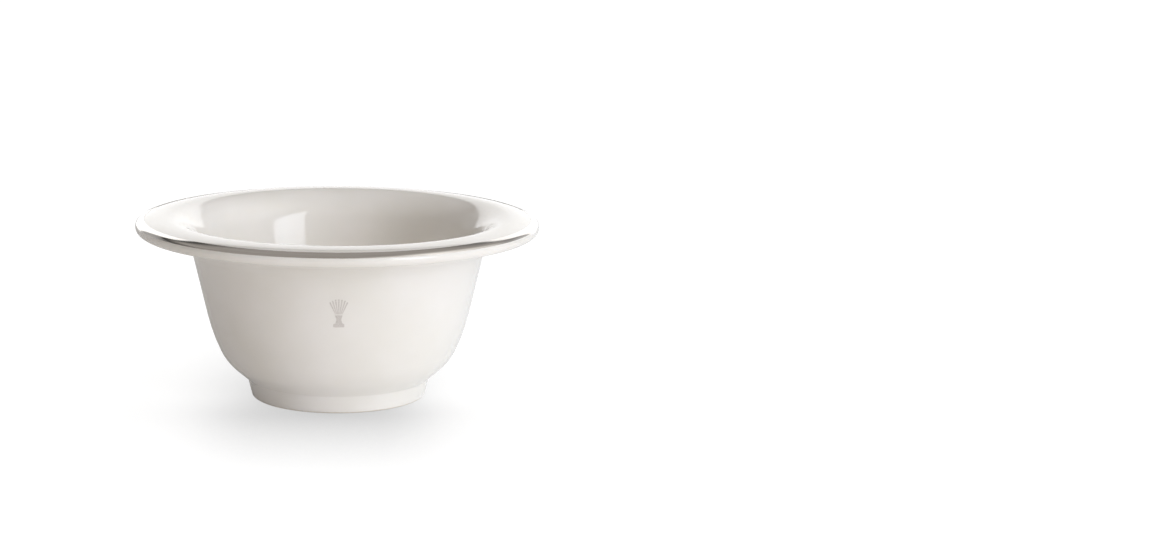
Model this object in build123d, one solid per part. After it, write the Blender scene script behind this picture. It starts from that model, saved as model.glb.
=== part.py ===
"""Porcelain shaving bowl with a platinum rim band, a printed front mark and a loose soap puck.

Millimetres. +Z is up along the axis of turning, and the origin is the centre of the foot ring's
standing face. The printed mark is on the -Y side, which is the front.
"""
from build123d import *
from math import acos, asin, cos, hypot, pi, radians, sin, tan
import os

# --- bowl: outside -------------------------------------------------------------------------------
RIM_R = 65.0            # widest radius of the lip
CREST_R = 56.2          # radius of the lip's highest ring
CREST_Z = 59.2          # overall height
LIP_FALL = 19.0         # degrees that the lip's top falls at its outer edge
EDGE_R = 2.0            # rounding of the lip's outer edge
UNDERCUT = 7.0          # degrees that the lip's underside rises outwards
THROAT_R = 8.0          # hollow rounding between wall and lip underside
WALL_LEAN = 13.0        # degrees that the straight upper wall leans out
WALL_R27 = 42.34        # outer wall radius at z = 27
HIP_Z = 21.1            # height where the upper wall's line meets the belly's
HIP_ROUND = 59.4
BELLY = (36.67, 11.96, 17.4)    # radius, height and rounding of the corner low on the belly
NECK = (29.55, 5.78, 1.0)       # the same for the crease between the belly and the foot ring

# --- bowl: foot ring -----------------------------------------------------------------------------
FOOT_R = 28.15          # outer radius of the standing face
FOOT_IN_R = 24.6        # inner radius of the foot ring
FOOT_ROUND = 0.7        # rounding of the standing face's edges
RECESS_Z = 5.2          # height of the recessed underside
RECESS_R = 24.0         # radius of the recess at its ceiling

# --- bowl: inside --------------------------------------------------------------------------------
LIP_IN_ARC = 11.5       # radius of the lip where it rolls into the bowl
FLOOR_Z = 9.6           # inside floor
FLOOR_CORNER_R = 32.27  # radius where the floor meets the inner belly's line
FLOOR_ROUND = 12.8
INNER_HIP_Z = 22.16     # height where the inner wall's line meets the inner belly's
INNER_HIP_ROUND = 50.8

# --- platinum band -------------------------------------------------------------------------------
BAND_T = 0.12           # thickness given to the lustre, so that it can be a solid
BAND_IN_R = 62.2        # inner edge of the band on the lip's top
BAND_END = 57.5         # degrees round the edge rounding where the band stops

# --- front mark ----------------------------------------------------------------------------------
MARK_T = 0.08           # thickness given to the printed colour
MARK_Z = 31.4           # bottom of the mark
MARK_H = 9.3            # height of the mark
BRISTLE_FAN = 8.0       # degrees between the bristles of the brush icon

# --- soap puck -----------------------------------------------------------------------------------
SOAP_R = 33.3
SOAP_H = 18.0
SOAP_Z = 12.0           # underside of the puck, held off the floor by the bowl's rounded corner
SOAP_LOW_ROUND = 3.0
SOAP_TOP_ROUND = 0.9
RING_W = 4.6            # raised outer ring
RING_H = 0.7            # how far the ring stands above the field
STAMP_R = 17.4          # outer radius of the embossed ring
STAMP_W = 0.6
STAMP_H = 0.35          # relief of the emblem above the field
BEADS = 24
BEAD_R = 1.15
BEAD_ORBIT = 14.9       # radius of the ring of beads
EMBLEM_H = 15.0         # height of the brush on the soap


def unit(a, b):
    """Unit vector from point a to point b."""
    length = hypot(b[0] - a[0], b[1] - a[1])
    return (b[0] - a[0]) / length, (b[1] - a[1]) / length


def rounded_outline(corners):
    """Closed outline of straight runs through (r, z, rounding) corners, joined by tangent arcs."""
    shortest_run = 0.01
    edges = []
    stops = []
    for i, (r, z, rounding) in enumerate(corners):
        before = unit((r, z), corners[i - 1][:2])
        after = unit((r, z), corners[(i + 1) % len(corners)][:2])
        if rounding == 0:
            stops.append([(r, z), None, (r, z)])
            continue
        half = acos(before[0] * after[0] + before[1] * after[1]) / 2
        reach = rounding / tan(half)
        middle = unit((0, 0), (before[0] + after[0], before[1] + after[1]))
        dip = rounding / sin(half) - rounding
        stops.append([
            (r + before[0] * reach, z + before[1] * reach),
            (r + middle[0] * dip, z + middle[1] * dip),
            (r + after[0] * reach, z + after[1] * reach),
        ])
    for i, (start, top, end) in enumerate(stops):
        if top:
            edges.append(ThreePointArc(start, top, end))
        following = stops[(i + 1) % len(stops)]
        if hypot(following[0][0] - end[0], following[0][1] - end[1]) > shortest_run:
            edges.append(Line(end, following[0]))
        else:
            following[0] = end
    return Wire(edges)


def turned(wire):
    """Full turn about Z of a closed outline drawn in (r, z)."""
    return revolve(Plane.XZ * make_face(wire), Axis.Z)


# Geometry that the lip's pieces share. The lip's top is an arc centred under the crest.
LIP_OUT_ARC = (RIM_R - EDGE_R - CREST_R + EDGE_R * sin(radians(LIP_FALL))) / sin(radians(LIP_FALL))
EDGE_CENTRE_Z = CREST_Z - LIP_OUT_ARC + (LIP_OUT_ARC - EDGE_R) * cos(radians(LIP_FALL))


def wall_point(z, inset=0.0):
    """Point of the straight upper wall's line at height z, moved inwards by inset."""
    lean = tan(radians(WALL_LEAN))
    return WALL_R27 + (z - 27.0) * lean - inset / cos(radians(WALL_LEAN)), z


def throat_corner():
    """Where the upper wall's line meets the line of the lip's underside."""
    rise = tan(radians(UNDERCUT))
    low = EDGE_CENTRE_Z - EDGE_R / cos(radians(UNDERCUT))
    r0, z0 = wall_point(27.0)
    lean = tan(radians(WALL_LEAN))
    z = (low - rise * (RIM_R - EDGE_R) + rise * (r0 - z0 * lean)) / (1 - rise * lean)
    return r0 + (z - z0) * lean, z


def porcelain_bowl():
    """Wall, rolled lip and foot ring, fired as one piece."""
    fall = radians(LIP_FALL)
    edge_top = EDGE_CENTRE_Z + EDGE_R * tan((pi / 2 - fall) / 2)
    edge_low = EDGE_CENTRE_Z - EDGE_R * tan((pi / 2 - radians(UNDERCUT)) / 2)
    lip_out = CREST_R + LIP_OUT_ARC * tan(fall / 2)
    lip_in = CREST_R - LIP_IN_ARC * tan(radians(90 - WALL_LEAN) / 2)
    inner_hip = lip_in - (CREST_Z - INNER_HIP_Z) * tan(radians(WALL_LEAN))
    corners = [
        (0, FLOOR_Z, 0),
        (FLOOR_CORNER_R, FLOOR_Z, FLOOR_ROUND),
        (inner_hip, INNER_HIP_Z, INNER_HIP_ROUND),
        (lip_in, CREST_Z, LIP_IN_ARC),
        (lip_out, CREST_Z, LIP_OUT_ARC),
        (RIM_R, edge_top, EDGE_R),
        (RIM_R, edge_low, EDGE_R),
        (*throat_corner(), THROAT_R),
        (*wall_point(HIP_Z), HIP_ROUND),
        BELLY,
        NECK,
        (FOOT_R, 0, FOOT_ROUND),
        (FOOT_IN_R, 0, FOOT_ROUND),
        (RECESS_R, RECESS_Z, FOOT_ROUND),
        (0, RECESS_Z, 0),
    ]
    return turned(rounded_outline(corners))


def lip_top_point(r, lift=0.0):
    """Point of the lip's outer top at radius r, lifted square to it."""
    angle = asin((r - CREST_R) / LIP_OUT_ARC)
    reach = LIP_OUT_ARC + lift
    return CREST_R + reach * sin(angle), CREST_Z - LIP_OUT_ARC + reach * cos(angle)


def edge_point(angle, lift=0.0):
    """Point of the edge rounding, angle in degrees from the top, lifted square to it."""
    reach = EDGE_R + lift
    return RIM_R - EDGE_R + reach * sin(radians(angle)), EDGE_CENTRE_Z + reach * cos(radians(angle))


def platinum_band():
    """Metal lustre ring that wraps the outer shoulder of the lip, seated on the glaze."""
    middle_r = (BAND_IN_R + edge_point(LIP_FALL)[0]) / 2
    middle_angle = (LIP_FALL + BAND_END) / 2
    edges = [
        ThreePointArc(lip_top_point(BAND_IN_R), lip_top_point(middle_r), edge_point(LIP_FALL)),
        ThreePointArc(edge_point(LIP_FALL), edge_point(middle_angle), edge_point(BAND_END)),
        Line(edge_point(BAND_END), edge_point(BAND_END, BAND_T)),
        ThreePointArc(
            edge_point(BAND_END, BAND_T), edge_point(middle_angle, BAND_T), edge_point(LIP_FALL, BAND_T)
        ),
        ThreePointArc(
            edge_point(LIP_FALL, BAND_T), lip_top_point(middle_r, BAND_T), lip_top_point(BAND_IN_R, BAND_T)
        ),
        Line(lip_top_point(BAND_IN_R, BAND_T), lip_top_point(BAND_IN_R)),
    ]
    return turned(Wire(edges))


def brush_icon(height):
    """Flat shaving brush standing on the origin: waisted handle, collar and fanned bristles."""
    k = height / 9.3
    foot = Pos(0, 0.5 * k) * Rectangle(3.4 * k, 1.0 * k)
    waist = make_face(Polyline((-1.3 * k, 1.0 * k), (-0.7 * k, 2.6 * k), (-1.2 * k, 4.0 * k),
                               (1.2 * k, 4.0 * k), (0.7 * k, 2.6 * k), (1.3 * k, 1.0 * k), close=True))
    icon = foot + waist
    for n in range(-3, 4):
        tip = 4.95 * k - 0.07 * k * n * n
        bristle = make_face(Polyline((-0.1 * k, 0), (-0.22 * k, tip), (0.22 * k, tip), (0.1 * k, 0), close=True))
        icon += Pos(0.33 * k * n, 4.35 * k) * Rot(0, 0, -BRISTLE_FAN * n) * bristle
    return icon


def front_mark():
    """Printed mark: the brush icon wrapped on the straight upper wall, at the front."""
    low = MARK_Z - 1.0
    high = MARK_Z + MARK_H + 1.0
    skin = turned(Wire([
        Line(wall_point(low), wall_point(low, -MARK_T)),
        Line(wall_point(low, -MARK_T), wall_point(high, -MARK_T)),
        Line(wall_point(high, -MARK_T), wall_point(high)),
        Line(wall_point(high), wall_point(low)),
    ]))
    print_plane = Plane(origin=(0, -30, MARK_Z), x_dir=(1, 0, 0), z_dir=(0, -1, 0))
    stamp = extrude(print_plane * brush_icon(MARK_H), amount=30)
    return skin & stamp


def soap_puck():
    """Pressed soap: raised outer ring, beaded emblem ring and a brush in low relief."""
    top = SOAP_Z + SOAP_H
    field = top - RING_H
    puck = turned(rounded_outline([
        (0, SOAP_Z, 0),
        (SOAP_R, SOAP_Z, SOAP_LOW_ROUND),
        (SOAP_R, top, SOAP_TOP_ROUND),
        (SOAP_R - RING_W + 0.35, top, 0.3),
        (SOAP_R - RING_W, field, 0.3),
        (0, field, 0),
    ]))
    emblem = Circle(STAMP_R) - Circle(STAMP_R - STAMP_W)
    for n in range(BEADS):
        emblem += Rot(0, 0, 360 / BEADS * n) * Pos(BEAD_ORBIT, 0) * Circle(BEAD_R)
    emblem += Pos(0, -EMBLEM_H / 2) * brush_icon(EMBLEM_H)
    relief = extrude(Pos(0, 0, field - 0.2) * emblem, amount=0.2 + STAMP_H)
    return puck + relief


PARTS = {
    "porcelain_bowl": porcelain_bowl,
    "platinum_band": platinum_band,
    "front_mark": front_mark,
    "soap_puck": soap_puck,
}

os.makedirs("parts", exist_ok=True)
for node, build in PARTS.items():
    export_step(build(), f"parts/{node}.step")
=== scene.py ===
import logging
import math
from dataclasses import dataclass, field
from enum import Enum
from typing import Any, Sequence

import bmesh
import bpy
from mathutils import Matrix, Vector


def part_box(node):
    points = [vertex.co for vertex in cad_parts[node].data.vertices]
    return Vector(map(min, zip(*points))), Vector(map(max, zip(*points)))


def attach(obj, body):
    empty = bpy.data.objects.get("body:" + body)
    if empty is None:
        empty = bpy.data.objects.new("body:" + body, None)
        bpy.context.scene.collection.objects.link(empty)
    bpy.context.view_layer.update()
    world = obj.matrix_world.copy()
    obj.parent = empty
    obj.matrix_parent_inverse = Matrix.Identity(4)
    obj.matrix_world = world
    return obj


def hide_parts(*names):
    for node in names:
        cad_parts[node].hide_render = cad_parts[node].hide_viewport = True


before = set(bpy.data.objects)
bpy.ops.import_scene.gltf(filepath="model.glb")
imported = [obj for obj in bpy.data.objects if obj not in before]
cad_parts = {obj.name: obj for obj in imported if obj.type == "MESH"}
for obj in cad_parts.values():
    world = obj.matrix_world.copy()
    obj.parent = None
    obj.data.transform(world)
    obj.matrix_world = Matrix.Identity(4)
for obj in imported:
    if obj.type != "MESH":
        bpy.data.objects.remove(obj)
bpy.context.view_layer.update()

LOG = logging.getLogger("shaving_bowl")
MM = 0.001
RGBA = tuple[float, float, float, float]


class Body(Enum):
    """The moving bodies of the frame."""

    BOWL = "bowl"
    SOAP = "soap"


class Slot(Enum):
    """The record's material slots."""

    PORCELAIN = "porcelain"
    LUSTRE = "lustre"
    PRINT = "print"
    SOAP = "soap"


# ------------------------------------------------------------------ small tools


def linear(hex_colour: str) -> RGBA:
    """Turns an sRGB hex colour into the linear values that shaders work in.

    Args:
        hex_colour: six hex digits, with or without a leading hash.

    Returns:
        Linear red, green and blue, with an alpha of 1.
    """
    digits = hex_colour.lstrip("#")
    channels = [int(digits[i:i + 2], 16) / 255 for i in (0, 2, 4)]
    toned = [c / 12.92 if c <= 0.04045 else ((c + 0.055) / 1.055) ** 2.4 for c in channels]
    return toned[0], toned[1], toned[2], 1.0


def add_node(
    tree: bpy.types.NodeTree, kind: str, inputs: dict[str | int, Any] | None = None, **settings: Any,
) -> bpy.types.Node:
    """Adds a shader node, sets it up and joins it.

    Args:
        tree: the node tree that the node goes into.
        kind: the node's Blender type, such as ShaderNodeMath.
        inputs: by the name or number of an input, its value, or the socket or node it's joined to.
        settings: the node's other attributes, such as operation.

    Returns:
        The new node.
    """
    node = tree.nodes.new(kind)
    for name, value in settings.items():
        setattr(node, name, value)
    for key, value in (inputs or {}).items():
        if isinstance(value, bpy.types.Node):
            value = value.outputs[0]
        if isinstance(value, bpy.types.NodeSocket):
            tree.links.new(value, node.inputs[key])
        else:
            node.inputs[key].default_value = value
    return node


def radius_of(lo: Vector, hi: Vector) -> float:
    """Radius in millimetres of a round node about Z, from its box in metres: the nearer side's."""
    return min(-lo.x, hi.x) / MM


# ------------------------------------------------------------------ outlines and turning


@dataclass(frozen=True)
class Corner:
    """A corner of an outline in millimetres: distance along X, height along Z, and rounding."""

    x: float
    z: float
    rounding: float = 0.0

    @property
    def point(self) -> Vector:
        """The corner as a point of the XZ plane."""
        return Vector((self.x, 0.0, self.z))


@dataclass
class Pen:
    """Draws an outline in the XZ plane as a chain of edges, with spun arcs for its roundings."""

    run_step: float = 1.2
    arc_step: float = math.radians(5)
    bm: bmesh.types.BMesh = field(default_factory=bmesh.new)
    tip: bmesh.types.BMVert | None = None

    def start(self, place: Vector) -> None:
        """Puts the pen down at a point."""
        self.tip = bmesh.ops.create_vert(self.bm, co=place)["vert"][0]

    def line_to(self, place: Vector) -> None:
        """Draws a straight run in short pieces, or nothing where the pen is already there.

        Args:
            place: the run's end.
        """
        way = place - self.tip.co
        if way.length < 1e-4:
            return
        pieces = max(1, math.ceil(way.length / self.run_step))
        for _ in range(pieces):
            made = bmesh.ops.extrude_vert_indiv(self.bm, verts=[self.tip])["verts"]
            bmesh.ops.translate(self.bm, verts=made, vec=way / pieces)
            self.tip = made[0]

    def arc(self, centre: Vector, turn: float) -> None:
        """Draws an arc about a centre.

        Args:
            centre: the arc's centre.
            turn: its angle in radians, positive to the right of the pen's way.
        """
        steps = max(2, math.ceil(abs(turn) / self.arc_step))
        spun = bmesh.ops.spin(
            self.bm, geom=[self.tip], cent=centre, axis=(0, 1, 0), angle=turn, steps=steps,
        )
        self.tip = next(g for g in spun["geom_last"] if isinstance(g, bmesh.types.BMVert))

    def round_corner(self, before: Vector, corner: Corner, after: Vector) -> None:
        """Draws up to a corner and round it.

        Args:
            before: the outline's point before the corner.
            corner: the corner.
            after: the outline's point after it.
        """
        back = (before - corner.point).normalized()
        ahead = (after - corner.point).normalized()
        if corner.rounding == 0:
            self.line_to(corner.point)
            return
        half = back.angle(ahead) / 2
        self.line_to(corner.point + back * corner.rounding / math.tan(half))
        centre = corner.point + (back + ahead).normalized() * corner.rounding / math.sin(half)
        side = 1 if back.cross(ahead).y < 0 else -1
        self.arc(centre, side * (math.pi - 2 * half))

    def open_outline(self, corners: Sequence[Corner]) -> None:
        """Draws an outline from its first corner to its last.

        Args:
            corners: the outline's corners, in order.
        """
        self.start(corners[0].point)
        for before, corner, after in zip(corners, corners[1:], corners[2:]):
            self.round_corner(before.point, corner, after.point)
        self.line_to(corners[-1].point)

    def closed_outline(self, corners: Sequence[Corner]) -> None:
        """Draws an outline that comes back to where it began, half way along its last run.

        Args:
            corners: the outline's corners, in order.
        """
        home = (corners[-1].point + corners[0].point) / 2
        self.start(home)
        ring = [Corner(home.x, home.z), *corners, Corner(home.x, home.z)]
        for before, corner, after in zip(ring, ring[1:], ring[2:]):
            self.round_corner(before.point, corner, after.point)
        self.line_to(home)
        bmesh.ops.remove_doubles(self.bm, verts=self.bm.verts[:], dist=1e-4)

    def turned(self, steps: int) -> bmesh.types.BMesh:
        """Turns the outline a full circle about Z.

        Args:
            steps: how many faces go round.

        Returns:
            The turned surface, closed at its poles, its faces pointing out.
        """
        bmesh.ops.spin(
            self.bm, geom=self.bm.verts[:] + self.bm.edges[:], cent=(0, 0, 0), axis=(0, 0, 1),
            angle=math.tau, steps=steps, use_merge=True,
        )
        bmesh.ops.remove_doubles(self.bm, verts=self.bm.verts[:], dist=1e-4)
        bmesh.ops.recalc_face_normals(self.bm, faces=self.bm.faces[:])
        return self.bm

    def slab(self, thickness: float) -> bmesh.types.BMesh:
        """Fills the closed outline and gives it a thickness towards -Y.

        Args:
            thickness: the slab's thickness.

        Returns:
            The closed slab, its back on the XZ plane.
        """
        face = bmesh.ops.contextual_create(self.bm, geom=self.bm.edges[:])["faces"]
        pushed = bmesh.ops.extrude_face_region(self.bm, geom=face, use_keep_orig=True)["geom"]
        verts = [g for g in pushed if isinstance(g, bmesh.types.BMVert)]
        bmesh.ops.translate(self.bm, verts=verts, vec=(0, -thickness, 0))
        bmesh.ops.recalc_face_normals(self.bm, faces=self.bm.faces[:])
        return self.bm


def merge_into(target: bmesh.types.BMesh, part: bmesh.types.BMesh) -> None:
    """Adds one mesh under construction to another, and frees it.

    Args:
        target: the mesh that grows.
        part: the mesh that goes into it.
    """
    carrier = bpy.data.meshes.new("carrier")
    part.to_mesh(carrier)
    part.free()
    target.from_mesh(carrier)
    bpy.data.meshes.remove(carrier)


@dataclass
class Piece:
    """A finished piece: its mesh in millimetres, its finish, and the frame's names for it."""

    name: str
    bm: bmesh.types.BMesh
    material: bpy.types.Material
    body: Body
    slot: Slot
    stands_for: str | None = None
    crease: float = math.radians(35)

    def place(self) -> bpy.types.Object:
        """Makes the object in metres at the origin, and ties it to the frame.

        Returns:
            The new object.
        """
        bmesh.ops.scale(self.bm, vec=(MM, MM, MM), verts=self.bm.verts[:])
        mesh = bpy.data.meshes.new(self.name)
        self.bm.to_mesh(mesh)
        self.bm.free()
        mesh.shade_smooth()
        mesh.set_sharp_from_angle(angle=self.crease)
        mesh.materials.append(self.material)
        made = bpy.data.objects.new(self.name, mesh)
        bpy.context.scene.collection.objects.link(made)
        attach(made, self.body.value)
        if self.stands_for:
            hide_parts(self.stands_for)
        LOG.info("%s: %d faces on body %s", self.name, len(mesh.polygons), self.body.value)
        return made


# ------------------------------------------------------------------ finishes


class Finish:
    """A material under construction: its node tree and the coordinates that its patterns read."""

    def __init__(self, name: str) -> None:
        """Makes the material with an empty tree.

        Args:
            name: the material's name.
        """
        self.material = bpy.data.materials.new(name)
        self.material.use_nodes = True
        self.tree = self.material.node_tree
        self.tree.nodes.clear()
        self.place = self.add("ShaderNodeTexCoord").outputs["Object"]

    def add(
        self, kind: str, inputs: dict[str | int, Any] | None = None, **settings: Any,
    ) -> bpy.types.Node:
        """Adds a node to this material's tree, as add_node does."""
        return add_node(self.tree, kind, inputs, **settings)

    def close(self, inputs: dict[str | int, Any]) -> bpy.types.Material:
        """Ends the material with its shader.

        Args:
            inputs: the shader's uniform values, and what its other sockets are joined to.

        Returns:
            The finished material.
        """
        shader = self.add("ShaderNodeBsdfPrincipled", inputs)
        self.add("ShaderNodeOutputMaterial", {"Surface": shader})
        return self.material


@dataclass(frozen=True)
class GlazedPorcelain:
    """White hard-paste porcelain under a clear fired glaze, the standing face left bare.

    The eye gets a warm white body with a deep soft gloss, reflections that waver a little where
    the glaze ran, and a dull biscuit ring under the foot.
    """

    body_colour: str = "#f1eee9"
    pooled_colour: str = "#ece9e2"
    bare_colour: str = "#ddd5c8"
    ior: float = 1.52
    depth_weight: float = 0.12
    depth_radius: tuple[float, float, float] = (1.0, 0.9, 0.75)
    depth_mm: float = 1.2
    gloss: float = 0.07
    bare_roughness: float = 0.62
    cloud_mm: float = 30.8
    ripple_mm: float = 14.0
    ripple_depth_mm: float = 0.02
    gloss_mm: float = 4.8
    peel_mm: float = 1.6
    peel_depth_mm: float = 0.0016
    bare_below_mm: float = 0.35
    glazed_above_mm: float = 0.56

    def make(self) -> bpy.types.Material:
        """Builds the material.

        Returns:
            The material.
        """
        fin = Finish("glazed_porcelain")
        height = fin.add("ShaderNodeSeparateXYZ", {"Vector": fin.place}).outputs["Z"]
        bare = fin.add("ShaderNodeMapRange", {
            "Value": height, "From Min": self.bare_below_mm * MM,
            "From Max": self.glazed_above_mm * MM, "To Min": 1.0, "To Max": 0.0,
        }, interpolation_type="SMOOTHSTEP")
        clouds = fin.add("ShaderNodeMapRange", {
            "Value": fin.add("ShaderNodeTexNoise", {
                "Vector": fin.place, "Scale": 1 / (self.cloud_mm * MM), "Detail": 3.0}),
            "From Min": 0.35, "From Max": 0.7}, interpolation_type="SMOOTHSTEP")
        body = fin.add("ShaderNodeMix", {
            0: clouds, 6: linear(self.body_colour), 7: linear(self.pooled_colour)}, data_type="RGBA")
        coloured = fin.add("ShaderNodeMix", {
            0: bare, 6: body.outputs[2], 7: linear(self.bare_colour)}, data_type="RGBA")
        glazed = fin.add("ShaderNodeMapRange", {
            "Value": fin.add("ShaderNodeTexNoise", {
                "Vector": fin.place, "Scale": 1 / (self.gloss_mm * MM), "Detail": 2.0}),
            "From Min": 0.3, "From Max": 0.7, "To Min": self.gloss * 0.8, "To Max": self.gloss * 1.25,
        }, interpolation_type="SMOOTHSTEP")
        dull = fin.add("ShaderNodeMath", {0: bare, 1: self.bare_roughness}, operation="MULTIPLY")
        rough = fin.add("ShaderNodeMath", {0: glazed, 1: dull}, operation="MAXIMUM")
        normal = None
        waves_mm = ((self.ripple_mm, self.ripple_depth_mm), (self.peel_mm, self.peel_depth_mm))
        for size_mm, depth_mm in waves_mm:
            waves = fin.add("ShaderNodeTexNoise", {
                "Vector": fin.place, "Scale": 1 / (size_mm * MM), "Detail": 1.0})
            below = {"Normal": normal} if normal else {}
            normal = fin.add("ShaderNodeBump", {
                "Height": waves, "Strength": 1.0, "Distance": depth_mm * MM, **below})
        return fin.close({
            "IOR": self.ior, "Subsurface Weight": self.depth_weight,
            "Subsurface Radius": self.depth_radius, "Subsurface Scale": self.depth_mm * MM,
            "Base Color": coloured.outputs[2],
            "Roughness": rough, "Normal": normal})


@dataclass(frozen=True)
class PlatinumLustre:
    """Platinum lustre painted on the glaze with a soft brush on a wheel, then fired.

    The eye gets a mirror with a warm grey tone, and faint streaks that run round the rim.
    """

    metal_colour: str = "#d2cec9"
    thin_colour: str = "#c8c3bd"
    gloss: float = 0.045
    streak_mm: float = 0.35
    streak_length: float = 60.0
    streak_depth_mm: float = 0.0012

    def make(self) -> bpy.types.Material:
        """Builds the material, its pattern drawn out round Z and kept fine across.

        Returns:
            The material.
        """
        fin = Finish("platinum_lustre")
        flat = fin.add("ShaderNodeVectorMath", {0: fin.place, 1: (1, 1, 0)}, operation="MULTIPLY")
        across = fin.add("ShaderNodeVectorMath", {0: flat}, operation="LENGTH").outputs["Value"]
        around = fin.add(
            "ShaderNodeVectorMath", {0: flat, "Scale": 1 / self.streak_length}, operation="SCALE")
        parts = fin.add("ShaderNodeSeparateXYZ", {"Vector": around}).outputs
        wound = fin.add("ShaderNodeCombineXYZ", {"X": parts["X"], "Y": parts["Y"], "Z": across})
        streaks = fin.add("ShaderNodeTexNoise", {
            "Vector": wound, "Scale": 1 / (self.streak_mm * MM), "Detail": 2.0})
        thin = fin.add("ShaderNodeMapRange", {
            "Value": streaks, "From Min": 0.35, "From Max": 0.7}, interpolation_type="SMOOTHSTEP")
        colour = fin.add("ShaderNodeMix", {
            0: thin, 6: linear(self.metal_colour), 7: linear(self.thin_colour)}, data_type="RGBA")
        rough = fin.add("ShaderNodeMapRange", {
            "Value": streaks, "From Min": 0.3, "From Max": 0.75, "To Min": self.gloss,
            "To Max": self.gloss * 2.2}, interpolation_type="SMOOTHSTEP")
        normal = fin.add("ShaderNodeBump", {
            "Height": streaks, "Strength": 1.0, "Distance": self.streak_depth_mm * MM})
        return fin.close({
            "Metallic": 1.0, "Base Color": colour.outputs[2], "Roughness": rough, "Normal": normal})


@dataclass(frozen=True)
class OverglazePrint:
    """Warm grey ceramic ink, screen printed and fired on the glaze.

    The eye gets a satin grey that is a little uneven where the screen's mesh let less ink through.
    """

    ink_colour: str = "#d0cac4"
    thin_colour: str = "#d9d4cf"
    ior: float = 1.5
    satin: float = 0.3
    mesh_mm: float = 0.4

    def make(self) -> bpy.types.Material:
        """Builds the material.

        Returns:
            The material.
        """
        fin = Finish("overglaze_print")
        grain = fin.add("ShaderNodeTexNoise", {
            "Vector": fin.place, "Scale": 1 / (self.mesh_mm * MM), "Detail": 2.0})
        thin = fin.add("ShaderNodeMapRange", {
            "Value": grain, "From Min": 0.35, "From Max": 0.75}, interpolation_type="SMOOTHSTEP")
        colour = fin.add("ShaderNodeMix", {
            0: thin, 6: linear(self.ink_colour), 7: linear(self.thin_colour)}, data_type="RGBA")
        rough = fin.add("ShaderNodeMapRange", {
            "Value": grain, "From Min": 0.3, "From Max": 0.7, "To Min": self.satin * 0.85,
            "To Max": self.satin * 1.2}, interpolation_type="SMOOTHSTEP")
        return fin.close({"IOR": self.ior, "Base Color": colour.outputs[2], "Roughness": rough})


@dataclass(frozen=True)
class PressedSoap:
    """Milled tallow shaving soap, pressed in a die.

    The eye gets an off-white wax that light soaks into, satin where the die polished it, with a
    fine grain and faint streaks left by the milling. The stamp's sunken ground is painted darker,
    as shade in the recess.
    """

    ground_z: float
    relief: float
    wax_colour: str = "#f0ede7"
    streak_colour: str = "#ede9e2"
    # Painted shade: a darker colour laid on the stamp's sunken ground, standing for shadow in the
    # recess.
    recess_shade_colour: str = "#e4e0d8"
    ior: float = 1.46
    depth_weight: float = 0.35
    depth_radius: tuple[float, float, float] = (1.0, 0.9, 0.78)
    depth_mm: float = 1.2
    satin: float = 0.42
    grain_mm: float = 0.55
    grain_depth_mm: float = 0.02
    streak_mm: float = 9.0
    streak_turn: float = 24.0
    streak_stretch: tuple[float, float, float] = (0.35, 1.4, 1.0)

    def make(self) -> bpy.types.Material:
        """Builds the material, with painted shade on its ground between just under the stamp's floor
        and half its relief.

        Returns:
            The material.
        """
        fin = Finish("pressed_soap")
        swept = fin.add("ShaderNodeMapping", {
            "Vector": fin.place, "Rotation": (0.0, 0.0, math.radians(self.streak_turn)),
            "Scale": self.streak_stretch})
        streaks = fin.add("ShaderNodeMapRange", {
            "Value": fin.add("ShaderNodeTexNoise", {
                "Vector": swept, "Scale": 1 / (self.streak_mm * MM), "Detail": 4.0}),
            "From Min": 0.4, "From Max": 0.72}, interpolation_type="SMOOTHSTEP")
        wax = fin.add("ShaderNodeMix", {
            0: streaks, 6: linear(self.wax_colour), 7: linear(self.streak_colour)}, data_type="RGBA")
        height = fin.add("ShaderNodeSeparateXYZ", {"Vector": fin.place}).outputs["Z"]
        low = self.ground_z + self.relief * 0.25
        under = fin.add("ShaderNodeMapRange", {
            "Value": height, "From Min": low * MM, "From Max": (low + self.relief * 0.5) * MM,
            "To Min": 1.0, "To Max": 0.0}, interpolation_type="SMOOTHSTEP")
        over = fin.add("ShaderNodeMapRange", {
            "Value": height, "From Min": (self.ground_z - 1.0) * MM,
            "From Max": (self.ground_z - 0.5) * MM}, interpolation_type="SMOOTHSTEP")
        # Painted shade: the sunken ground, up to half the relief, takes the darker colour as shade in
        # the recess.
        painted_recess_shade = fin.add("ShaderNodeMath", {0: under, 1: over}, operation="MULTIPLY")
        colour = fin.add("ShaderNodeMix", {
            0: painted_recess_shade, 6: wax.outputs[2], 7: linear(self.recess_shade_colour)}, data_type="RGBA")
        grain = fin.add("ShaderNodeTexNoise", {
            "Vector": fin.place, "Scale": 1 / (self.grain_mm * MM), "Detail": 3.0})
        rough = fin.add("ShaderNodeMapRange", {
            "Value": grain, "From Min": 0.3, "From Max": 0.75, "To Min": self.satin * 0.85,
            "To Max": self.satin * 1.25}, interpolation_type="SMOOTHSTEP")
        normal = fin.add("ShaderNodeBump", {
            "Height": grain, "Strength": 1.0, "Distance": self.grain_depth_mm * MM})
        return fin.close({
            "IOR": self.ior, "Subsurface Weight": self.depth_weight,
            "Subsurface Radius": self.depth_radius, "Subsurface Scale": self.depth_mm * MM,
            "Base Color": colour.outputs[2],
            "Roughness": rough, "Normal": normal})


# ------------------------------------------------------------------ the bowl


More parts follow.
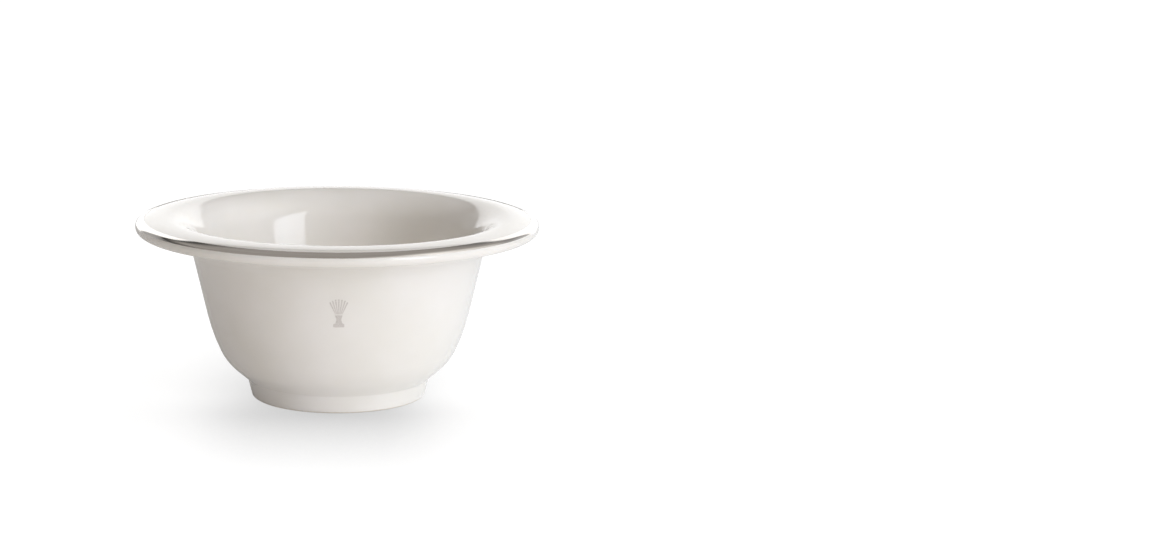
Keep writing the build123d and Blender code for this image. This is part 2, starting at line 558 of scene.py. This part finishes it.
@dataclass
class Bowl:
    """The fired porcelain: wall, rolled lip and foot ring.

    Lengths are in millimetres and angles in degrees.
    """

    crest_r: float = 56.2
    lip_fall: float = 19.0
    edge_round: float = 2.0
    undercut: float = 7.0
    throat_round: float = 8.0
    wall_lean: float = 13.0
    wall_z: float = 27.0
    wall_r: float = 42.34
    hip_z: float = 21.1
    hip_round: float = 59.4
    belly: Corner = Corner(36.67, 11.96, 17.4)
    neck: Corner = Corner(29.55, 5.78, 1.0)
    foot_r: float = 28.15
    foot_in_r: float = 24.6
    foot_round: float = 0.7
    recess: Corner = Corner(24.0, 5.2, 0.7)
    lip_in_round: float = 11.5
    floor_z: float = 9.6
    floor_corner_r: float = 32.27
    floor_round: float = 12.8
    inner_hip_z: float = 22.16
    inner_hip_round: float = 50.8
    faces_round: int = 256
    rim_r: float = field(init=False)
    height: float = field(init=False)

    def __post_init__(self) -> None:
        """Takes the rim's radius and the height from the frame."""
        lo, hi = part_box("porcelain_bowl")
        self.rim_r = radius_of(lo, hi)
        self.height = hi.z / MM

    @property
    def lean(self) -> float:
        """How far the straight wall goes out for each millimetre up."""
        return math.tan(math.radians(self.wall_lean))

    @property
    def lip_out_round(self) -> float:
        """Radius of the arc of the lip's outer top, from the crest to the edge's rounding."""
        fall = math.sin(math.radians(self.lip_fall))
        return (self.rim_r - self.edge_round - self.crest_r) / fall + self.edge_round

    @property
    def edge_z(self) -> float:
        """Height of the centre of the edge's rounding."""
        drop = (self.lip_out_round - self.edge_round) * math.cos(math.radians(self.lip_fall))
        return self.height - self.lip_out_round + drop

    def wall_at(self, z: float) -> float:
        """Radius of the straight outer wall's line at a height."""
        return self.wall_r + (z - self.wall_z) * self.lean

    def throat(self) -> Corner:
        """Finds the corner where the wall's line meets the lip's underside.

        Returns:
            The corner, with the fillet's rounding.
        """
        rise = math.tan(math.radians(self.undercut))
        low = self.edge_z - self.edge_round / math.cos(math.radians(self.undercut))
        foot = self.wall_at(0.0)
        z = (low + rise * (foot - self.rim_r + self.edge_round)) / (1 - rise * self.lean)
        return Corner(self.wall_at(z), z, self.throat_round)

    def section(self) -> list[Corner]:
        """Lists the half section, from the inside floor over the lip to the recess under the foot.

        Returns:
            The section's corners.
        """
        half_fall = math.radians(self.lip_fall) / 2
        quarter = math.pi / 4
        half_cut = math.radians(self.undercut) / 2
        half_lean = math.radians(self.wall_lean) / 2
        shoulder = self.crest_r + self.lip_out_round * math.tan(half_fall)
        edge_top = self.edge_z + self.edge_round * math.tan(quarter - half_fall)
        edge_low = self.edge_z - self.edge_round * math.tan(quarter - half_cut)
        lip_in = self.crest_r - self.lip_in_round * math.tan(quarter - half_lean)
        inner_hip = lip_in - (self.height - self.inner_hip_z) * self.lean
        return [
            Corner(0.0, self.floor_z),
            Corner(self.floor_corner_r, self.floor_z, self.floor_round),
            Corner(inner_hip, self.inner_hip_z, self.inner_hip_round),
            Corner(lip_in, self.height, self.lip_in_round),
            Corner(shoulder, self.height, self.lip_out_round),
            Corner(self.rim_r, edge_top, self.edge_round),
            Corner(self.rim_r, edge_low, self.edge_round),
            self.throat(),
            Corner(self.wall_at(self.hip_z), self.hip_z, self.hip_round),
            self.belly,
            self.neck,
            Corner(self.foot_r, 0.0, self.foot_round),
            Corner(self.foot_in_r, 0.0, self.foot_round),
            self.recess,
            Corner(0.0, self.recess.z),
        ]

    def build(self) -> None:
        """Turns the bowl and glazes it."""
        pen = Pen()
        pen.open_outline(self.section())
        Piece(
            "bowl_porcelain", pen.turned(self.faces_round), GlazedPorcelain().make(),
            Body.BOWL, Slot.PORCELAIN, "porcelain_bowl",
        ).place()


@dataclass
class RimBand:
    """The painted metal band round the lip's outer shoulder.

    Lengths are in millimetres and angles in degrees. Each of the waves that its inner edge wavers by
    is a number of turns round the rim, a share and a phase.
    """

    bowl: Bowl
    inner_r: float = 62.2
    end_angle: float = 57.5
    skin: float = 0.1
    sink: float = 0.03
    waver: float = 0.09
    waves: tuple[tuple[int, float, float], ...] = ((2, 0.55, 1.0), (5, 0.3, 2.1), (11, 0.15, 3.7))
    top_step: float = 0.9
    edge_step: float = 4.0
    faces_round: int = 384

    def edge_at(self, angle: float, lift: float) -> Vector:
        """Finds a point of the edge's rounding.

        Args:
            angle: its angle from the rounding's top.
            lift: how far it stands off the porcelain.

        Returns:
            The point, in the XZ plane.
        """
        reach = self.bowl.edge_round + lift
        a = math.radians(angle)
        return Vector((
            self.bowl.rim_r - self.bowl.edge_round + reach * math.sin(a), 0.0,
            self.bowl.edge_z + reach * math.cos(a),
        ))

    def lip_at(self, r: float, lift: float) -> Vector:
        """Finds a point of the lip's outer top.

        Args:
            r: the radius of the porcelain under it.
            lift: how far it stands off the porcelain.

        Returns:
            The point, in the XZ plane.
        """
        arc = self.bowl.lip_out_round
        a = math.asin((r - self.bowl.crest_r) / arc)
        centre_z = self.bowl.height - arc
        return Vector((
            self.bowl.crest_r + (arc + lift) * math.sin(a), 0.0,
            centre_z + (arc + lift) * math.cos(a),
        ))

    def outline(self) -> Pen:
        """Draws the band's thin section: out along its top, round the shoulder, and back inside.

        Returns:
            The pen, with the closed outline.
        """
        bowl = self.bowl
        lip_centre = Vector((bowl.crest_r, 0.0, bowl.height - bowl.lip_out_round))
        edge_centre = Vector((bowl.rim_r - bowl.edge_round, 0.0, bowl.edge_z))
        start_angle = math.asin((self.inner_r - bowl.crest_r) / bowl.lip_out_round)
        on_lip = math.radians(bowl.lip_fall) - start_angle
        on_edge = math.radians(self.end_angle - bowl.lip_fall)
        pen = Pen(arc_step=math.radians(self.top_step), run_step=1.0)
        pen.start(self.lip_at(self.inner_r, self.skin))
        pen.arc(lip_centre, on_lip)
        pen.arc_step = math.radians(self.edge_step)
        pen.arc(edge_centre, on_edge)
        pen.line_to(self.edge_at(self.end_angle, -self.sink))
        pen.arc(edge_centre, -on_edge)
        pen.arc_step = math.radians(self.top_step)
        pen.arc(lip_centre, -on_lip)
        pen.line_to(self.lip_at(self.inner_r, self.skin))
        return pen

    def waver_at(self, angle: float) -> float:
        """How far a hand-held brush strays at an angle round the rim."""
        return self.waver * sum(
            share * math.sin(turns * angle + phase) for turns, share, phase in self.waves)

    def build(self) -> None:
        """Turns the band, lets its inner edge waver, and gives it its metal."""
        bm = self.outline().turned(self.faces_round)
        arc_centre = self.bowl.height - self.bowl.lip_out_round
        shoulder = self.bowl.rim_r - self.bowl.edge_round
        for vert in bm.verts:
            r = math.hypot(vert.co.x, vert.co.y)
            if r >= shoulder:
                continue
            share = (shoulder - r) / (shoulder - self.inner_r)
            moved = r + share * self.waver_at(math.atan2(vert.co.y, vert.co.x))
            reach = math.hypot(r - self.bowl.crest_r, vert.co.z - arc_centre)
            vert.co.x *= moved / r
            vert.co.y *= moved / r
            vert.co.z = arc_centre + math.sqrt(reach ** 2 - (moved - self.bowl.crest_r) ** 2)
        Piece(
            "rim_band", bm, PlatinumLustre().make(), Body.BOWL, Slot.LUSTRE, "platinum_band",
        ).place()


# ------------------------------------------------------------------ the brush figure


@dataclass
class BrushFigure:
    """A flat shaving brush: waisted handle and fanned bristles. It's drawn 9.3 high and scaled."""

    height: float
    thickness: float
    bristles: int = 7
    fan: float = 8.0
    drawn_height: float = 9.3
    half_handle: tuple[Corner, ...] = (
        Corner(1.7, 0.0, 0.2), Corner(1.7, 1.0, 0.25), Corner(1.0, 1.45, 0.5),
        Corner(0.72, 2.6, 1.2), Corner(1.2, 4.0, 0.12),
    )
    root: Corner = Corner(0.1, 0.0, 0.05)
    tip: Corner = Corner(0.22, 4.95, 0.18)
    droop: float = 0.07
    root_pitch: float = 0.33
    root_z: float = 4.35

    @property
    def scale(self) -> float:
        """How much larger the figure is than it's drawn."""
        return self.height / self.drawn_height

    def mirrored(self, half: Sequence[Corner]) -> list[Corner]:
        """Scales the right half of an outline and adds its left half.

        Args:
            half: the right half's corners, from the bottom up.

        Returns:
            The whole outline's corners.
        """
        k = self.scale
        right = [Corner(c.x * k, c.z * k, c.rounding * k) for c in half]
        return right + [Corner(-c.x, c.z, c.rounding) for c in reversed(right)]

    def bristle(self, number: int) -> bmesh.types.BMesh:
        """One bristle of the fan, as a thin tapered slab.

        Args:
            number: its place in the fan, 0 in the middle.

        Returns:
            The slab.
        """
        k = self.scale
        tip = Corner(self.tip.x, self.tip.z - self.droop * number * number, self.tip.rounding)
        pen = Pen(run_step=1.0 * k, arc_step=math.radians(20))
        pen.closed_outline(self.mirrored([self.root, tip]))
        bm = pen.slab(self.thickness)
        turn = Matrix.Rotation(math.radians(self.fan * number), 3, "Y")
        bmesh.ops.rotate(bm, verts=bm.verts[:], cent=(0, 0, 0), matrix=turn)
        move = (self.root_pitch * k * number, 0, self.root_z * k)
        bmesh.ops.translate(bm, verts=bm.verts[:], vec=move)
        return bm

    def build(self) -> bmesh.types.BMesh:
        """Draws the whole figure standing on the origin, its front towards -Y.

        Returns:
            The figure.
        """
        pen = Pen(run_step=self.height / 20, arc_step=math.radians(10))
        pen.closed_outline(self.mirrored(self.half_handle))
        bm = pen.slab(self.thickness)
        reach = self.bristles // 2
        for number in range(-reach, reach + 1):
            merge_into(bm, self.bristle(number))
        return bm


@dataclass
class FrontMark:
    """The small print on the front wall. Lengths in millimetres."""

    bowl: Bowl
    film: float = 0.05
    sink: float = 0.02
    strip: float = 0.5
    strips_each_side: int = 4

    def wrap(self, place: Vector, bottom: float) -> Vector:
        """Lays a point of the flat figure on the wall.

        Args:
            place: the point, its thickness along -Y.
            bottom: height of the figure's foot.

        Returns:
            The point on the wall, at the front.
        """
        z = bottom + place.z
        reach = self.bowl.wall_at(z) - place.y - self.sink
        turn = place.x / self.bowl.wall_at(z)
        return Vector((reach * math.sin(turn), -reach * math.cos(turn), z))

    def build(self) -> None:
        """Draws the figure, cuts it into narrow strips so that it can bend, and lays it on."""
        lo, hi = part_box("front_mark")
        height = (hi.z - lo.z) / MM
        bm = BrushFigure(height, self.film + self.sink).build()
        bmesh.ops.triangulate(bm, faces=bm.faces[:])
        for step in range(-self.strips_each_side, self.strips_each_side + 1):
            geometry = bm.verts[:] + bm.edges[:] + bm.faces[:]
            bmesh.ops.bisect_plane(
                bm, geom=geometry, plane_co=(step * self.strip, 0, 0), plane_no=(1, 0, 0), dist=1e-5)
        for vert in bm.verts:
            vert.co = self.wrap(vert.co, lo.z / MM)
        Piece(
            "front_print", bm, OverglazePrint().make(), Body.BOWL, Slot.PRINT, "front_mark",
        ).place()


# ------------------------------------------------------------------ the soap


@dataclass
class SoapPuck:
    """The pressed soap with its raised ring and stamped emblem. Lengths in millimetres."""

    low_round: float = 3.0
    top_round: float = 0.9
    ring_width: float = 4.6
    ring_height: float = 0.7
    step_round: float = 0.35
    step_lean: float = 0.4
    stamp_r: float = 17.4
    stamp_depth: float = 0.35
    stamp_lean: float = 0.2
    stamp_round: float = 0.15
    beads: int = 24
    bead_orbit: float = 15.1
    bead_length: float = 3.2
    bead_width: float = 2.0
    bead_rise: float = 1.15
    figure_height: float = 15.0
    figure_sink: float = 0.3
    faces_round: int = 192
    radius: float = field(init=False)
    bottom: float = field(init=False)
    top: float = field(init=False)

    def __post_init__(self) -> None:
        """Takes the puck's radius and heights from the frame."""
        lo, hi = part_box("soap_puck")
        self.radius = radius_of(lo, hi)
        self.bottom = lo.z / MM
        self.top = hi.z / MM

    def section(self) -> list[Corner]:
        """Lists the half section, from the middle of the underside to the middle of the stamp.

        Returns:
            The section's corners.
        """
        field_z = self.top - self.ring_height
        ring_in = self.radius - self.ring_width
        return [
            Corner(0.0, self.bottom),
            Corner(self.radius, self.bottom, self.low_round),
            Corner(self.radius, self.top, self.top_round),
            Corner(ring_in + self.step_lean, self.top, self.step_round),
            Corner(ring_in, field_z, self.step_round),
            Corner(self.stamp_r + self.stamp_lean, field_z, self.stamp_round),
            Corner(self.stamp_r, self.stamp_floor, self.stamp_round),
            Corner(0.0, self.stamp_floor),
        ]

    def bead(self, number: int) -> bmesh.types.BMesh:
        """One long bead of the emblem's ring.

        Args:
            number: its place in the ring.

        Returns:
            A low dome, longer along the radius.
        """
        bm = bmesh.new()
        bmesh.ops.create_uvsphere(bm, u_segments=20, v_segments=12, radius=1.0)
        bmesh.ops.scale(bm, verts=bm.verts[:], vec=(
            self.bead_length / 2, self.bead_width / 2, self.stamp_depth * self.bead_rise))
        bmesh.ops.translate(bm, verts=bm.verts[:], vec=(self.bead_orbit, 0, self.stamp_floor))
        turn = Matrix.Rotation(math.tau / self.beads * number, 3, "Z")
        bmesh.ops.rotate(bm, verts=bm.verts[:], cent=(0, 0, 0), matrix=turn)
        return bm

    @property
    def stamp_floor(self) -> float:
        """Height of the emblem's ground."""
        return self.top - self.ring_height - self.stamp_depth

    def figure(self) -> bmesh.types.BMesh:
        """Lays the brush on the stamp in low relief, its bristles towards the back.

        Returns:
            The brush, sunk a little into the soap.
        """
        bm = BrushFigure(self.figure_height, self.stamp_depth + self.figure_sink).build()
        turn = Matrix.Rotation(math.radians(-90), 3, "X")
        bmesh.ops.rotate(bm, verts=bm.verts[:], cent=(0, 0, 0), matrix=turn)
        move = (0, -self.figure_height / 2, self.stamp_floor - self.figure_sink)
        bmesh.ops.translate(bm, verts=bm.verts[:], vec=move)
        return bm

    def build(self) -> None:
        """Presses the puck and its emblem."""
        pen = Pen(run_step=1.0, arc_step=math.radians(9))
        pen.open_outline(self.section())
        finish = PressedSoap(self.stamp_floor, self.stamp_depth).make()
        Piece(
            "soap_body", pen.turned(self.faces_round), finish, Body.SOAP, Slot.SOAP, "soap_puck",
        ).place()
        relief = self.figure()
        for number in range(self.beads):
            merge_into(relief, self.bead(number))
        Piece("soap_emblem", relief, finish, Body.SOAP, Slot.SOAP).place()


# ------------------------------------------------------------------ studio


def towards(azimuth: float, elevation: float) -> Vector:
    """Unit vector out from the object, azimuth 0 at the front (-Y) and 90 on the right (+X)."""
    a, e = math.radians(azimuth), math.radians(elevation)
    return Vector((math.sin(a) * math.cos(e), -math.cos(a) * math.cos(e), math.sin(e)))


@dataclass(frozen=True)
class Flag:
    """A black card with a straight edge, which leaves a panel's light on one side only.

    Light is left on the side that a direction points to, from a level above the plane square to it.
    Angles are in degrees.
    """

    azimuth: float
    elevation: float
    level: float = 0.0
    softness: float = 2.5

    def gate(self, tree: bpy.types.NodeTree, way: bpy.types.NodeSocket) -> bpy.types.Node:
        """Adds the card's nodes.

        Args:
            tree: the room's node tree.
            way: the direction looked in, as a socket.

        Returns:
            The node that gives 1 where light passes and 0 behind the card.
        """
        height = math.sin(math.radians(self.level))
        half = math.sin(math.radians(self.softness)) / 2
        along = add_node(
            tree, "ShaderNodeVectorMath", {0: way, 1: towards(self.azimuth, self.elevation)},
            operation="DOT_PRODUCT")
        return add_node(tree, "ShaderNodeMapRange", {
            "Value": along.outputs["Value"], "From Min": height - half, "From Max": height + half,
        }, interpolation_type="SMOOTHSTEP")


@dataclass(frozen=True)
class Panels:
    """Equal light panels far off, at one height.

    Each is full within one angle of its middle and gone past another. Angles are in degrees.
    """

    azimuths: tuple[float, ...]
    elevation: float
    full: float
    gone: float
    radiance: float
    colour: str = "#ffffff"
    flags: tuple[Flag, ...] = ()

    def glow(self, tree: bpy.types.NodeTree, way: bpy.types.NodeSocket) -> bpy.types.Node:
        """Adds the panels' nodes to the room's shader.

        Args:
            tree: the room's node tree.
            way: the direction looked in, as a socket.

        Returns:
            The node that gives the panels' light.
        """
        total = None
        for azimuth in self.azimuths:
            along = add_node(
                tree, "ShaderNodeVectorMath", {0: way, 1: towards(azimuth, self.elevation)},
                operation="DOT_PRODUCT")
            near = add_node(tree, "ShaderNodeMapRange", {
                "Value": along.outputs["Value"], "From Min": math.cos(math.radians(self.gone)),
                "From Max": math.cos(math.radians(self.full)), "To Max": self.radiance,
            }, interpolation_type="SMOOTHSTEP")
            total = near if total is None else add_node(
                tree, "ShaderNodeMath", {0: total, 1: near}, operation="ADD")
        for flag in self.flags:
            total = add_node(
                tree, "ShaderNodeMath", {0: total, 1: flag.gate(tree, way)}, operation="MULTIPLY")
        return add_node(
            tree, "ShaderNodeBackground", {"Color": linear(self.colour), "Strength": total})


@dataclass
class Room:
    """The lit room: its banks of soft panels, and white paper behind the object for the camera."""

    banks: tuple[Panels, ...] = (
        Panels((30.0,), 12.0, 27.0, 29.0, 4.0, "#f1f6ff", (Flag(120.0, 0.0), Flag(337.4, -35.9))),
        Panels((177.0,), 0.0, 33.0, 38.0, 1.32, "#ffffff", (Flag(0.0, -90.0, -29.5),)),
        Panels((210.0,), 12.0, 0.0, 32.0, 0.55, "#ffffff", (Flag(0.0, -90.0, -29.5),)),
        Panels((30.0, 60.0), 12.0, 0.0, 32.0, 0.70, "#e9f2ff"),
        Panels((90.0, 120.0, 150.0), 12.0, 0.0, 32.0, 0.42),
        Panels((340.0, 15.0), 26.0, 0.0, 30.0, 0.5, "#fff0e8"),
        Panels((55.0, 95.0), 42.0, 0.0, 34.0, 0.58),
        Panels((245.0,), 6.0, 0.0, 32.0, 0.3),
        Panels((0.0,), 90.0, 48.0, 62.0, 0.45, "#fffaf5"),
    )

    def build(self) -> None:
        """Makes the world's shader from the banks and the paper."""
        world = bpy.data.worlds.new("studio_room")
        bpy.context.scene.world = world
        world.use_nodes = True
        tree = world.node_tree
        tree.nodes.clear()
        way = add_node(tree, "ShaderNodeTexCoord").outputs["Generated"]
        total = None
        for bank in self.banks:
            light = bank.glow(tree, way)
            total = light if total is None else add_node(
                tree, "ShaderNodeAddShader", {0: total, 1: light})
        paper = add_node(tree, "ShaderNodeBackground", {"Color": (1, 1, 1, 1), "Strength": 1.0})
        path = add_node(tree, "ShaderNodeLightPath")
        mixed = add_node(
            tree, "ShaderNodeMixShader", {0: path.outputs["Is Camera Ray"], 1: total, 2: paper})
        add_node(tree, "ShaderNodeOutputWorld", {"Surface": mixed})


@dataclass(frozen=True)
class FloorGlow:
    """Light that the floor sends up, rising smoothly between two places on one axis, in metres."""

    axis: str
    start: float
    end: float
    strength: float
    colour: str


@dataclass(frozen=True)
class ContactShade:
    """The soft shade on the floor round the foot, deepest in front of it. Lengths in metres."""

    reach: float = 0.075
    depth: float = 0.62
    side_share: float = 0.55
    front_y: float = -0.035
    middle_x: float = -0.006
    inner_x: float = 0.018
    outer_x: float = 0.052
    outer_share: float = 0.4
    samples: int = 16

    def share(self, fin: Finish) -> bpy.types.Node:
        """Adds the shade's nodes.

        Args:
            fin: the floor's material.

        Returns:
            The node that gives the share of light left: 1 in the open, less under the bowl.
        """
        near = fin.add("ShaderNodeAmbientOcclusion", {"Distance": self.reach}, samples=self.samples)
        shut = fin.add("ShaderNodeMath", {0: 1.0, 1: near.outputs["AO"]}, operation="SUBTRACT")
        parts = fin.add("ShaderNodeSeparateXYZ", {0: fin.place}).outputs
        depth = fin.add("ShaderNodeMapRange", {
            "Value": parts["Y"], "From Min": self.front_y, "From Max": 0.0, "To Min": self.depth,
            "To Max": self.depth * self.side_share}, interpolation_type="SMOOTHSTEP")
        aside = fin.add("ShaderNodeMath", {0: parts["X"], 1: self.middle_x}, operation="SUBTRACT")
        off = fin.add("ShaderNodeMath", {0: aside}, operation="ABSOLUTE")
        spread = fin.add("ShaderNodeMapRange", {
            "Value": off, "From Min": self.inner_x, "From Max": self.outer_x, "To Min": 1.0,
            "To Max": self.outer_share}, interpolation_type="SMOOTHSTEP")
        strength = fin.add("ShaderNodeMath", {0: depth, 1: spread}, operation="MULTIPLY")
        lost = fin.add("ShaderNodeMath", {0: shut, 1: strength}, operation="MULTIPLY")
        return fin.add("ShaderNodeMath", {0: 1.0, 1: lost}, operation="SUBTRACT")


@dataclass
class Floor:
    """The plain floor, paler to the eye than as a bounce, and aglow at the right and the front.

    Its size is in metres. The rest are levels and shares of light.
    """

    size: float = 6.0
    seen: float = 1.66
    lit: float = 1.08
    evenness: float = 0.88
    bounce: float = 0.8
    shade: ContactShade = ContactShade()
    glows: tuple[FloorGlow, ...] = (
        FloorGlow("X", -0.06, 0.10, 0.24, "#eef6ff"),
        FloorGlow("Y", 0.02, -0.12, 0.18, "#ffeedd"),
    )

    def looked_at(self, fin: Finish) -> bpy.types.Node:
        """Adds the floor as the camera gets it: mostly even light, with the shade round the foot.

        Args:
            fin: the floor's material.

        Returns:
            The node with its shader.
        """
        left = self.shade.share(fin)
        tone = fin.add("ShaderNodeMath", {0: left, 1: self.seen}, operation="MULTIPLY")
        light = fin.add("ShaderNodeMath", {0: left, 1: self.lit}, operation="MULTIPLY")
        pale = fin.add("ShaderNodeBsdfDiffuse", {"Color": tone})
        even = fin.add("ShaderNodeEmission", {"Strength": light})
        return fin.add("ShaderNodeMixShader", {0: self.evenness, 1: pale, 2: even})

    def bounced(self, fin: Finish) -> bpy.types.Node:
        """Adds the floor as the object gets it: pale paint, and the glows.

        Args:
            fin: the floor's material.

        Returns:
            The node with its shader.
        """
        total = fin.add("ShaderNodeBsdfDiffuse", {"Color": (self.bounce,) * 3 + (1.0,)})
        parts = fin.add("ShaderNodeSeparateXYZ", {0: fin.place}).outputs
        for glow in self.glows:
            share = fin.add("ShaderNodeMapRange", {
                "Value": parts[glow.axis], "From Min": glow.start, "From Max": glow.end,
                "To Max": glow.strength}, interpolation_type="SMOOTHSTEP")
            lit = fin.add("ShaderNodeEmission", {"Color": linear(glow.colour), "Strength": share})
            total = fin.add("ShaderNodeAddShader", {0: total, 1: lit})
        return total

    def build(self) -> None:
        """Lays the floor and gives it its two faces."""
        bm = bmesh.new()
        bmesh.ops.create_grid(bm, x_segments=8, y_segments=8, size=self.size / 2)
        mesh = bpy.data.meshes.new("floor")
        bm.to_mesh(mesh)
        bm.free()
        fin = Finish("studio_floor")
        path = fin.add("ShaderNodeLightPath")
        mixed = fin.add("ShaderNodeMixShader", {
            0: path.outputs["Is Camera Ray"], 1: self.bounced(fin), 2: self.looked_at(fin)})
        fin.add("ShaderNodeOutputMaterial", {"Surface": mixed})
        mesh.materials.append(fin.material)
        laid = bpy.data.objects.new("floor", mesh)
        bpy.context.scene.collection.objects.link(laid)


@dataclass
class Camera:
    """A long lens that leaves the bowl left of the middle of the frame.

    Its centre and distance are in metres. The focal length and the subject's place are shares of
    the frame's width.
    """

    centre: Vector = field(default_factory=lambda: Vector((0.0, 0.0, 0.028)))
    distance: float = 0.8
    elevation: float = 12.08
    sensor_mm: float = 36.0
    focal_share: float = 2.0715
    subject_right: float = -0.2119
    subject_up: float = -0.0287

    def build(self) -> None:
        """Puts the camera in front of the bowl and aims it past its side."""
        lens = bpy.data.cameras.new("camera")
        lens.sensor_width = self.sensor_mm
        lens.lens = self.focal_share * self.sensor_mm
        made = bpy.data.objects.new("camera", lens)
        out = towards(0.0, self.elevation)
        made.location = self.centre + out * self.distance
        sight = Vector((self.subject_right, self.subject_up, -self.focal_share)).normalized()
        aside = sight.rotation_difference(Vector((0.0, 0.0, -1.0)))
        made.rotation_mode = "QUATERNION"
        made.rotation_quaternion = out.to_track_quat("Z", "Y") @ aside
        bpy.context.scene.collection.objects.link(made)
        bpy.context.scene.camera = made


@dataclass
class Studio:
    """Floor, room light and camera."""

    floor: Floor = field(default_factory=Floor)
    room: Room = field(default_factory=Room)
    camera: Camera = field(default_factory=Camera)

    def build(self) -> None:
        """Sets up the whole studio, with colours shown as they are."""
        self.floor.build()
        self.room.build()
        self.camera.build()
        settings = bpy.context.scene.view_settings
        settings.view_transform = "Standard"
        settings.look = "None"


def main() -> None:
    """Builds the bowl, its band and mark, the soap and the studio, in that order."""
    logging.basicConfig(level=logging.INFO, format="%(name)s: %(message)s")
    bowl = Bowl()
    bowl.build()
    RimBand(bowl).build()
    FrontMark(bowl).build()
    SoapPuck().build()
    Studio().build()


if __name__ == "__main__":
    main()
